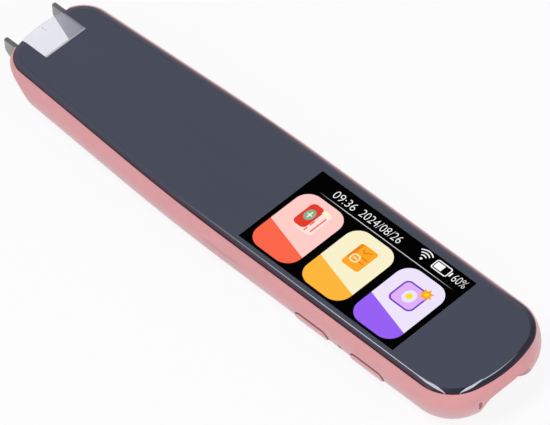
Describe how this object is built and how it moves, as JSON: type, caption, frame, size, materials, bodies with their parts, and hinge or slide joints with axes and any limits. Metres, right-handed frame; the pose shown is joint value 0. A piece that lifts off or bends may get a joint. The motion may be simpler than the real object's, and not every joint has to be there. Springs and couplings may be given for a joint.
{
  "type": "handheld translator",
  "caption": "Slim scanning translation pen: flat tapered pink case, full glass front with a colour display, clear scanning tip between press-in prongs, side keys, charging scoop.",
  "frame": {"origin": "centre of the bounding box in plan, on the back face of the case", "axes": "+X towards the charging end, -X towards the scanning tip, +Z out of the glass front, side keys on the -Y side"},
  "size_m": [0.1412, 0.032, 0.0115],
  "materials": {
    "case": "satin",
    "key": "satin",
    "cover_glass": "gloss",
    "clear_window": "gloss",
    "tape": "matt",
    "trigger": "satin",
    "steel": "satin",
    "plunger": "matt",
    "switch_body": "satin",
    "board": "satin",
    "flex": "satin",
    "hood": "matt",
    "light_guide": "satin",
    "lamp": "gloss",
    "camera_body": "matt",
    "lens": "gloss",
    "display": "gloss",
    "chip": "matt",
    "backlight": "matt",
    "connector": "matt",
    "frame": "matt",
    "screw": "satin",
    "shield": "satin",
    "battery": "satin",
    "foam": "matt",
    "speaker_frame": "matt",
    "contact": "satin",
    "boot": "matt"
  },
  "bodies": {
    "pen": {"rear_housing": "case", "cover_glass": "cover_glass", "tip_window": "clear_window", "glass_tape": "tape", "trigger_springs": "steel", "trigger_switch": "switch_body", "trigger_board": "board", "trigger_flex": "flex", "optics_hood": "hood", "light_guide": "light_guide", "scan_leds": "lamp", "light_board": "board", "camera_module": "camera_body", "camera_lens": "lens", "display_cell": "display", "display_driver": "chip", "display_backlight": "backlight", "display_flex": "flex", "display_connector": "connector", "mid_frame": "frame", "chassis_screws": "screw", "main_board": "board", "shield_can": "shield", "processor": "chip", "memory_chip": "chip", "wifi_antenna": "flex", "head_flex": "flex", "head_connector": "connector", "battery_cell": "battery", "battery_board": "board", "battery_tape": "tape", "battery_flex": "flex", "battery_connector": "connector", "foam_pad": "foam", "speaker": "speaker_frame", "speaker_seal": "foam", "speaker_contacts": "contact", "microphone": "shield", "mic_boot": "boot", "port_shell": "steel", "port_tongue": "connector", "front_key_switch": "switch_body", "rear_key_switch": "switch_body"},
    "trigger": {"scan_trigger": "trigger", "trigger_plunger": "plunger"},
    "front_key": {"front_key": "key", "front_key_plunger": "plunger"},
    "rear_key": {"rear_key": "key", "rear_key_plunger": "plunger"}
  },
  "joints": [
    {"name": "trigger_press", "type": "slide", "parent": "pen", "child": "trigger", "axis": [1, 0, 0], "range_m": [0, 0.001], "stiffness_N_per_m": 800, "springref_m": -0.0008, "deforming": ["trigger_springs"]},
    {"name": "front_key_press", "type": "slide", "parent": "pen", "child": "front_key", "axis": [0, 1, 0], "range_m": [0, 0.0004], "stiffness_N_per_m": 2500, "springref_m": -0.0002},
    {"name": "rear_key_press", "type": "slide", "parent": "pen", "child": "rear_key", "axis": [0, 1, 0], "range_m": [0, 0.0004], "stiffness_N_per_m": 2500, "springref_m": -0.0002}
  ]
}
